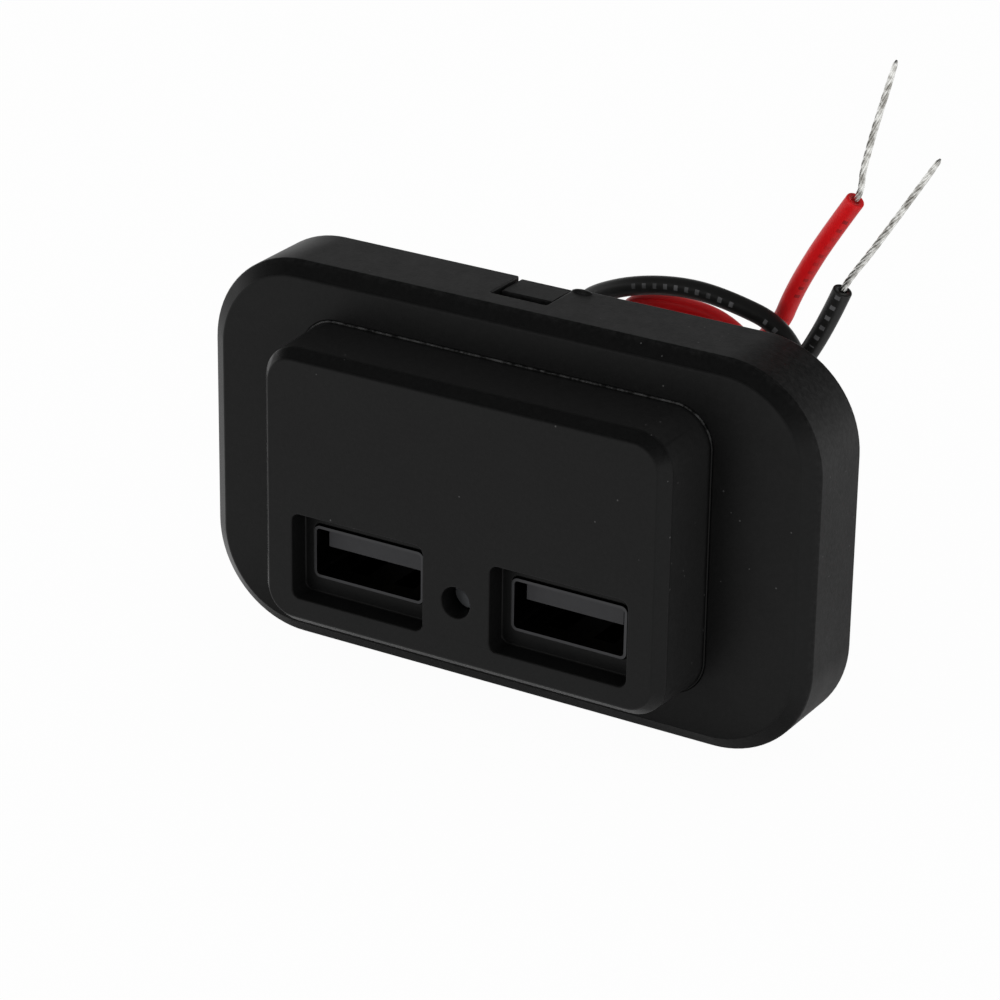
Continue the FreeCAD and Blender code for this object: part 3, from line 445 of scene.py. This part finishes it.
sleeveFacts = {
    "mottle": {"size": 4 * mm, "low": 0.8},
    "roughness": {"size": 1.2 * mm, "span": (0.3, 0.5)},
    "bump": {"size": 0.9 * mm, "depth": 0.02 * mm, "strength": 0.35},
    "specular": 0.32,
    "dashes": {"every": 1.3 * mm, "inked": 0.36},
    "groups": {"every": 16.5 * mm, "inked": 0.8},
    "halfRow": 0.045,  # in turns round the sleeve
    "ink": 0.6,
    "worn": {"size": 3 * mm, "span": (0.3, 0.6)},
}


def insulationFinish(name, facts, look):
    # Soft PVC with a faint sheen, slight handling marks and a broken row of printed dashes. A
    # dash, or a group of them, is inked while the fraction of distance / every is below inked.
    finish = Finish(name)
    place = finish.place()
    around, along = finish.attribute("around"), finish.attribute("along")
    dash, group = [
        (along / look[key]["every"]).fraction() < look[key]["inked"]
        for key in ("dashes", "groups")
    ]
    row = (abs(around - facts["inkTurn"]) < look["halfRow"]) * dash * group
    worn = finish.noise(place, look["worn"]["size"], 2).between(*look["worn"]["span"])
    mottled = finish.noise(place, look["mottle"]["size"])
    base = finish.mix(mottled, scaled(facts["tube"], look["mottle"]["low"]), facts["tube"])
    bump = look["bump"]
    height = finish.noise(place, bump["size"], 2)
    return finish.set({
        "Base Color": finish.mix(row * worn * look["ink"], base, facts["ink"]),
        "Roughness": finish.wander(place, look["roughness"]["size"], look["roughness"]["span"]),
        "Normal": finish.bump(height, bump["depth"], bump["strength"]),
        "Specular IOR Level": look["specular"],
    })


tinFacts = {
    "patch": {"size": 0.8 * mm, "span": (0.38, 0.6)},
    # Tarnish colour that also serves as painted shade between the wires.
    "dullAndShaded": (0.42, 0.41, 0.38),
    "bright": (0.95, 0.95, 0.92),
    "roughness": {"size": 0.4 * mm, "span": (0.24, 0.4)},
}


def strandFinish(look):
    # Tinned copper: pale and bright, with random darker, warmer patches, partly tarnish and partly painted
    # shade standing in for the crevices between the wires.
    finish = Finish("tinnedCopper")
    place = finish.place()
    patch = finish.noise(place, look["patch"]["size"]).between(*look["patch"]["span"])
    return finish.set({
        "Base Color": finish.mix(patch, look["dullAndShaded"], look["bright"]),
        "Roughness": finish.wander(place, look["roughness"]["size"], look["roughness"]["span"]),
        "Metallic": 1.0,
    })


tinned = strandFinish(tinFacts)
for colour, facts in leadFacts.items():
    sleeveLook = insulationFinish(f"{colour}Sleeve", facts, sleeveFacts)
    sleeve, line = makeInsulation(f"{colour}Lead", facts, sleeveShape, sleeveLook)
    bare = makeStrands(f"{colour}Strands", facts, strandShape, tinned)
    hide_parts(f"{colour}_lead")
    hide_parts(f"{colour}_lead_strands")
    print(colour, "lead laid, line", round(runs(line)[-1] / mm, 1), "mm")


# Moulded black plastic. Colours are shares of its own where they are called low or high, and a
# reach is a stretch of y, the depth: the panel is at 0 and the front is at -17.55 mm.
plasticFacts = {
    "colour": 0.0052,
    "flow": {"size": 9 * mm, "low": 0.86, "high": (1.0976, 1.1312, 1.12)},
    "mottle": {"size": 0.5 * mm, "span": (0.38, 0.68), "high": 2.8},
    "front": {"reach": (-8.5 * mm, -7.9 * mm), "mottle": 0.15},
    "bossFace": {"half": (22 * mm, 13.7 * mm), "soft": 0.4 * mm},
    # Painted light: the boss's drafted outer sides are mixed towards this paler grey, standing in for the
    # light they get. The grey fades out near the panel.
    "paintedLightSides": {"reach": (-16.4 * mm, -9.5 * mm), "colour": 0.016, "even": 0.7},
    "chamfers": {
        "surround": (-9.25 * mm, -8.1 * mm),
        "boss": (-17.5 * mm, -16.3 * mm),
        "soft": 0.1 * mm,
        "smoother": 0.22,
        "flatter": 0.6,
    },
    "specks": {"apart": 1.6 * mm, "radius": 0.09 * mm, "patch": 20 * mm, "above": 0.54, "colour": 0.06},
    "roughness": {"size": 3 * mm, "span": (0.37, 0.49)},
    "grain": {"size": 0.22 * mm, "depth": 0.024 * mm, "strength": 0.5},
    "specular": 0.13,
}


def bossZones(x, y, z, facts):
    # Masks of the boss's drafted sides, where light is painted on, and of both front chamfers.
    # Outside the boss's face, the larger of |x| - half width and |z| - half height is above 0.
    face, sides, chamfers = facts["bossFace"], facts["paintedLightSides"], facts["chamfers"]
    past = (abs(x) - face["half"][0]).maximum(abs(z) - face["half"][1])
    outside = past.between(0, face["soft"])
    surround = y.within(*chamfers["surround"], chamfers["soft"])
    boss = outside * y.within(*chamfers["boss"], chamfers["soft"])
    # The first mask is where light is painted on the boss's outer sides.
    return outside * y.within(*sides["reach"], face["soft"]), surround + boss


def rareSpecks(finish, place, facts):
    # Specks of dust, only in some wide patches.
    specks = finish.specks(place, facts["apart"], facts["radius"])
    return specks * (finish.noise(place, facts["patch"], 1) > facts["above"])


def topDust(finish, place, z, facts):
    # Cloudy dust that begins near the top.
    cloudy = finish.noise(place, facts["cloud"], 4, 0.7).between(*facts["span"])
    return cloudy * z.between(*facts["fades"]) * facts["strength"]


def plasticFinish(name, facts, dust=None):
    # Fine matte grain and faint flow marks, a mottle that is strong only behind the front edge,
    # painted light that makes the boss's drafted sides paler, smoother chamfers, and specks or a
    # cloud of dust.
    finish = Finish(name)
    place = finish.place()
    x, y, z = finish.axes(place)
    own, flow, sides, front = [facts[key] for key in ("colour", "flow", "paintedLightSides", "front")]
    flowing = finish.noise(place, flow["size"])
    base = finish.mix(flowing, grey(own * flow["low"]), scaled(flow["high"], own))
    mottle = finish.noise(place, facts["mottle"]["size"], 4, 0.65).between(*facts["mottle"]["span"])
    strong = front["mottle"] + (1 - front["mottle"]) * y.between(*front["reach"])
    base = finish.mix(mottle * strong, base, grey(own * facts["mottle"]["high"]))
    # Painted light: the boss's outer sides, between their reaches, are mixed towards a paler grey.
    paintedLightOnSides, chamfered = bossZones(x, y, z, facts)
    paintedLightShare = sides["even"] + (1 - sides["even"]) * mottle
    base = finish.mix(paintedLightOnSides * paintedLightShare, base, grey(sides["colour"]))
    if dust:
        dusty = finish.mix(topDust(finish, place, z, dust), base, grey(dust["colour"]))
    else:
        dusty = finish.mix(rareSpecks(finish, place, facts["specks"]), base, grey(facts["specks"]["colour"]))
    rough = finish.wander(place, facts["roughness"]["size"], facts["roughness"]["span"], 3)
    grain, chamfers = facts["grain"], facts["chamfers"]
    height = finish.noise(place, grain["size"], 2, 0.6) * (1 - chamfers["flatter"] * chamfered)
    return finish.set({
        "Base Color": dusty,
        "Roughness": rough - chamfered * chamfers["smoother"],
        "Normal": finish.bump(height, grain["depth"], grain["strength"]),
        "Specular IOR Level": facts["specular"],
    })


plastic = plasticFinish("mouldedPlastic", plasticFacts)

# The surround and the housing: copies of their solids with rounded edges.
edgeFacts = {"merged": 0.002 * mm, "flat": 0.4, "sharp": 28, "segments": 3}
edgedNodes = {
    "bezel_frame": {"piece": "surround", "round": 0.16 * mm},
    "socket_housing": {"piece": "housing", "round": 0.14 * mm},
}


def roundedCopy(node, piece, width, facts, finish):
    # The node's own solid with its triangles joined to plain faces and its edges rounded.
    shape = bmesh.new()
    shape.from_mesh(nodes[node].data)
    bmesh.ops.remove_doubles(shape, verts=shape.verts, dist=facts["merged"])
    flat, sharp = math.radians(facts["flat"]), math.radians(facts["sharp"])
    bmesh.ops.dissolve_limit(shape, angle_limit=flat, verts=shape.verts, edges=shape.edges)
    mesh = bpy.data.meshes.new(piece)
    shape.to_mesh(mesh)
    shape.free()
    mesh.shade_smooth()
    mesh.set_sharp_from_angle(angle=sharp)
    copy = addPiece(piece, mesh, finish)
    bevel = copy.modifiers.new("edges", "BEVEL")
    bevel.width, bevel.segments = width, facts["segments"]
    bevel.limit_method, bevel.angle_limit = "ANGLE", sharp
    bevel.use_clamp_overlap = False
    bevel.miter_outer = "MITER_ARC"
    weighted = copy.modifiers.new("normals", "WEIGHTED_NORMAL")
    weighted.keep_sharp = True
    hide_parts(node)


for node, copied in edgedNodes.items():
    roundedCopy(node, copied["piece"], copied["round"], edgeFacts, plastic)
print("surround and housing dressed")

# Thin ring that closes the gap between the boss and the surround's window, dusty at its top.
# Its shape is in millimetres, its dust in metres.
seamFacts = {
    "half": (23.67, 15.37),
    "corner": 4.17,
    "depth": 9.3,
    "radius": 0.12,
    "perCorner": 16,
    "sides": 8,
    "dust": {
        "cloud": 0.7 * mm,
        "span": (0.42, 0.6),
        "fades": (11 * mm, 14 * mm),
        "strength": 0.8,
        "colour": 0.06,
    },
}


def makeSeam(facts, finish):
    # Rounded rectangle: the corner's middle plus corner radius (cos a, sin a), once per corner;
    # the section adds radius cos b outwards and radius sin b towards the panel.
    quarter = np.linspace(0, np.pi / 2, facts["perCorner"])
    angle = np.concatenate([quarter + turn * np.pi / 2 for turn in range(4)])
    signs = np.repeat([(1, 1), (-1, 1), (-1, -1), (1, -1)], facts["perCorner"], axis=0)
    outward = np.stack([np.cos(angle), np.sin(angle)], axis=1)
    flat = signs * (np.array(facts["half"]) - facts["corner"]) + facts["corner"] * outward
    around = np.arange(facts["sides"]) * 2 * np.pi / facts["sides"]
    reach = facts["radius"] * np.cos(around)[None, :, None]
    ring = flat[:, None] + outward[:, None] * reach
    depth = np.broadcast_to(facts["radius"] * np.sin(around) - facts["depth"], ring.shape[:2])
    grid = np.stack([ring[..., 0], depth, ring[..., 1]], axis=-1)
    return surface("dustLine", [grid * mm], finish, looped=True)


makeSeam(seamFacts, plasticFinish("dustyPlastic", plasticFacts, seamFacts["dust"]))

# Moulding nib left on the rear edge of the surround, beside the pry notch, in millimetres.
nibFacts = {"centre": (4.0, -0.6, 20.7), "half": (1.2, 0.5, 0.32), "rings": 9, "sides": 24, "pole": 0.06}


def makeNib(facts, finish):
    # Flattened ball: point (half_x sin t cos a, half_y sin t sin a, half_z cos t) about its
    # centre, with t from one small flat pole to the other.
    tilt = np.linspace(facts["pole"], np.pi - facts["pole"], facts["rings"])[:, None]
    angle = (np.arange(facts["sides"]) * 2 * np.pi / facts["sides"])[None]
    ball = [np.sin(tilt) * np.cos(angle), np.sin(tilt) * np.sin(angle), np.cos(tilt) + 0 * angle]
    grid = np.stack(ball, axis=-1)[::-1] * facts["half"] + facts["centre"]
    return surface("mouldNib", [grid * mm], finish)


makeNib(nibFacts, plastic)

# Inner pieces: each finish with its colour, roughness and metal, and the nodes that have it.
innerFacts = {
    "darkZinc": ((0.3, 0.3, 0.31), 0.34, 1.0, ["cover_screws"]),
    "solderMask": ((0.015, 0.13, 0.055), 0.32, 0.0, ["circuit_board"]),
    "darkPlatedSteel": ((0.05, 0.05, 0.052), 0.34, 1.0, ["usb_shell_left", "usb_shell_right"]),
    "insulator": ((0.022, 0.022, 0.024), 0.45, 0.0, ["usb_tongue_left", "usb_tongue_right"]),
    "goldContact": ((0.83, 0.6, 0.24), 0.22, 1.0, ["usb_contacts_left", "usb_contacts_right"]),
    "smokyGuide": ((0.11, 0.115, 0.12), 0.4, 0.0, ["light_guide"]),
    "lampLens": ((0.5, 0.56, 0.64), 0.15, 0.0, ["status_led"]),
    "canMetal": ((0.74, 0.74, 0.75), 0.3, 1.0, ["input_capacitor", "output_capacitor"]),
    "ferrite": ((0.065, 0.065, 0.07), 0.62, 0.0, ["power_inductor"]),
    "chipResin": (
        (0.02, 0.02, 0.022), 0.55, 0.0,
        ["regulator_chip", "port_controller_chip", "rectifier_diode"],
    ),
    "fuseBody": ((0.035, 0.12, 0.05), 0.3, 0.0, ["input_fuse"]),
    "ceramic": ((0.4, 0.28, 0.17), 0.5, 0.0, ["ceramic_capacitors"]),
    "resistorFilm": ((0.015, 0.015, 0.018), 0.25, 0.0, ["chip_resistors"]),
    "bushRubber": ((0.017, 0.017, 0.017), 0.6, 0.0, ["lead_bush"]),
    "solderTin": ((0.7, 0.7, 0.71), 0.25, 1.0, ["lead_solder"]),
    "tailSleeve": ((0.02, 0.02, 0.02), 0.4, 0.0, ["lead_tails"]),
}
solidFacts = {
    "colour": {"size": 2 * mm, "spread": 0.12},
    "roughness": {"size": 2 * mm / 3, "spread": 0.15},
    "bump": {"size": 0.25 * mm, "depth": 0.006 * mm, "strength": 0.4},
    "specular": 0.3,
}


def solidFinish(name, colour, roughness, metal, look):
    # Base colour and roughness that wander a little, with a shallow bump.
    finish = Finish(name)
    place = finish.place()
    spread, uneven, bump = look["colour"]["spread"], look["roughness"]["spread"], look["bump"]
    light = tuple(min(part, 1) for part in scaled(colour, 1 + spread))
    wander = finish.noise(place, look["colour"]["size"])
    span = (roughness * (1 - uneven), roughness * (1 + uneven))
    height = finish.noise(place, bump["size"], 2)
    return finish.set({
        "Base Color": finish.mix(wander, scaled(colour, 1 - spread), light),
        "Roughness": finish.wander(place, look["roughness"]["size"], span),
        "Metallic": metal,
        "Normal": finish.bump(height, bump["depth"], bump["strength"]),
        "Specular IOR Level": look["specular"],
    })


dress(nodes["rear_cover"].data, plastic)
for name, (colour, roughness, metal, wearers) in innerFacts.items():
    finish = solidFinish(name, colour, roughness, metal, solidFacts)
    for wearer in wearers:
        dress(nodes[wearer].data, finish)
print("inner pieces finished")


# Studio: a pale floor, and a world that the camera sees as white. Reflections see that white
# from the floor up to a low backdrop, and a dark room above it.
studioFacts = {
    "floor": {
        "level": -0.0209,
        "size": 3.0,
        "colour": 0.9,
        "roughness": 0.9,
        "shown": 0.97,
        "fades": (-0.03, 0.03),
        "returns": (0.06, 0.1),
        "paintedShadowPatch": {"half": (0.034, 0.014), "middle": 0.003, "soft": 0.007},
    },
    "world": {
        "diffuse": 0.45,
        "backdrop": [(0.0, 1.0), (0.52, 1.0), (0.62, 0.5), (0.70, 0.2), (0.8, 0.05), (1.0, 0.02)],
    },
    "lamps": {
        "key": {"place": (-0.45, -0.85, 0.2), "size": 0.5, "power": 3.6},
        "fill": {"place": (0.9, -0.3, 0.15), "size": 0.6, "power": 3.4},
        "rim": {"place": (-0.3, 0.7, 0.6), "size": 0.5, "power": 1.0},
    },
}


def makeLamp(name, facts):
    # Square lamp that faces the object and isn't seen in reflections.
    lamp = bpy.data.lights.new(name, "AREA")
    lamp.shape, lamp.size, lamp.energy = "SQUARE", facts["size"], facts["power"]
    holder = addObject(name, lamp)
    place = Vector(facts["place"])
    turned = place.to_track_quat("Z", "Y").to_matrix().to_4x4()
    holder.matrix_world = Matrix.Translation(place) @ turned
    holder.visible_glossy = False


def makeFloor(facts):
    # White where the camera looks, with a little of the lit floor and its shadow. Reflections
    # see white too, except for a painted shadow: only the plain lit floor right under the object and
    # in a soft band just behind it.
    finish = Finish("paleFloor")
    finish.set({
        "Base Color": grey(facts["colour"]),
        "Roughness": facts["roughness"],
        "Specular IOR Level": 0.0,
    })
    camera, glossy, through = finish.rays()
    x, y = finish.axes(finish.place())[:2]
    # Painted shadow seen in reflections: a patch under the object and a band behind it, where reflections
    # get no white glow.
    paintedUnder = facts["paintedShadowPatch"]
    past = (abs(x) - paintedUnder["half"][0]).maximum(abs(y - paintedUnder["middle"]) - paintedUnder["half"][1])
    clear = past.between(0, paintedUnder["soft"])
    behind = y.between(*facts["fades"]) * (1 - y.between(*facts["returns"]))
    shown = (camera + through) * facts["shown"] + glossy * (clear * (1 - behind))
    plain, glow = Signal(finish, finish.shader.outputs[0]), finish.add("ShaderNodeEmission")
    finish.show("Material Output", finish.blend(shown, plain, glow))
    half, level = facts["size"] / 2, facts["level"]
    corners = [(-half, -half, level), (half, -half, level), (half, half, level), (-half, half, level)]
    mesh = bpy.data.meshes.new("floor")
    mesh.from_pydata(corners, [], [(0, 1, 2, 3)])
    dress(mesh, finish)
    addObject("floor", mesh)


def makeWorld(facts):
    # White for the camera, an even soft light for surfaces, and for reflections a brightness
    # that falls with height: half of (1 + height of the ray), from 0 to 1, picks it.
    world = bpy.data.worlds.new("studio")
    world.use_nodes = True
    bpy.context.scene.world = world
    studio = Nodes(world.node_tree)
    camera, glossy, through = studio.rays()
    background = studio.tree.nodes["Background"]
    studio.feed(background.inputs["Color"], grey(1))
    studio.feed(background.inputs["Strength"], facts["diffuse"])
    height = studio.axes(studio.place("Generated"))[2]
    stops = [(place, grey(level)) for place, level in facts["backdrop"]]
    fading = studio.add("ShaderNodeValToRGB", {"stops": stops}, {0: 0.5 + 0.5 * height})
    backdrop = studio.add("ShaderNodeBackground", None, {"Color": fading})
    white = studio.add("ShaderNodeBackground", None, {"Color": grey(1)})
    lit = studio.blend(glossy, Signal(studio, background.outputs[0]), backdrop)
    studio.show("World Output", studio.blend(camera.maximum(through), lit, white))


makeFloor(studioFacts["floor"])
makeWorld(studioFacts["world"])
for name, facts in studioFacts["lamps"].items():
    makeLamp(name, facts)
bpy.context.scene.view_settings.view_transform = "Standard"
print("studio lit")
